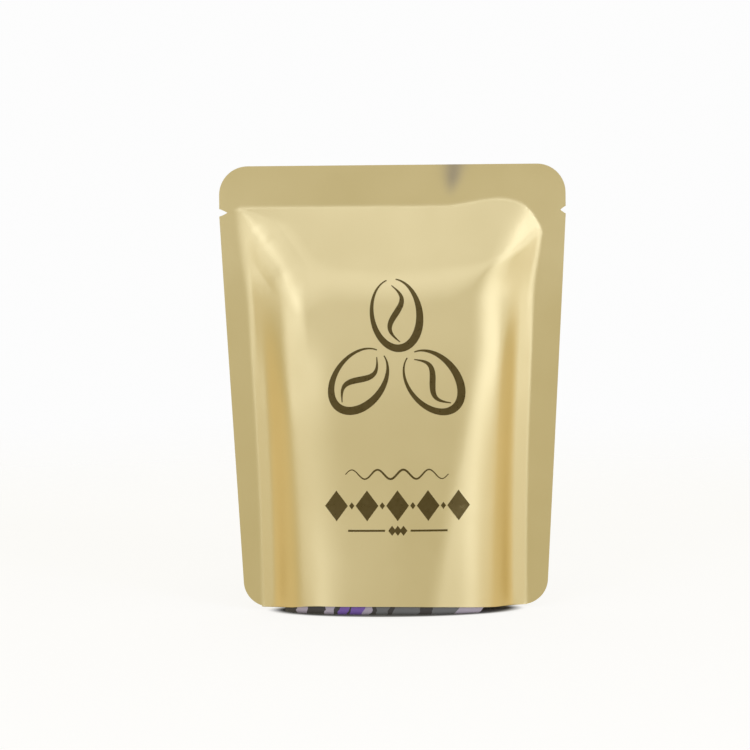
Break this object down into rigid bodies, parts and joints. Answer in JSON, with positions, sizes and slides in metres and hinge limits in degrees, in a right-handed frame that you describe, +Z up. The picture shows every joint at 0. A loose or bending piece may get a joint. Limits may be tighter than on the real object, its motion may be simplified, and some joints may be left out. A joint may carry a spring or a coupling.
{
  "type": "three-side seal foil bag",
  "caption": "Flat foil bag welded along its top and sides, with rounded corners and tear notches, stood on its open end with a block of filling inside.",
  "frame": {"origin": "on the ground under the middle of the standing bag", "axes": "+Z up, -Y towards the viewer of the printed front, +X to that viewer's right"},
  "size_m": [0.0982, 0.03, 0.1258],
  "materials": {
    "foil": "satin gold lacquer on aluminium foil laminate, with a dark bronze print on the front",
    "filling": "folded silver-grey inner pack with a violet field"
  },
  "bodies": {
    "root": {"bag": "foil", "filling": "filling"}
  },
  "joints": []
}
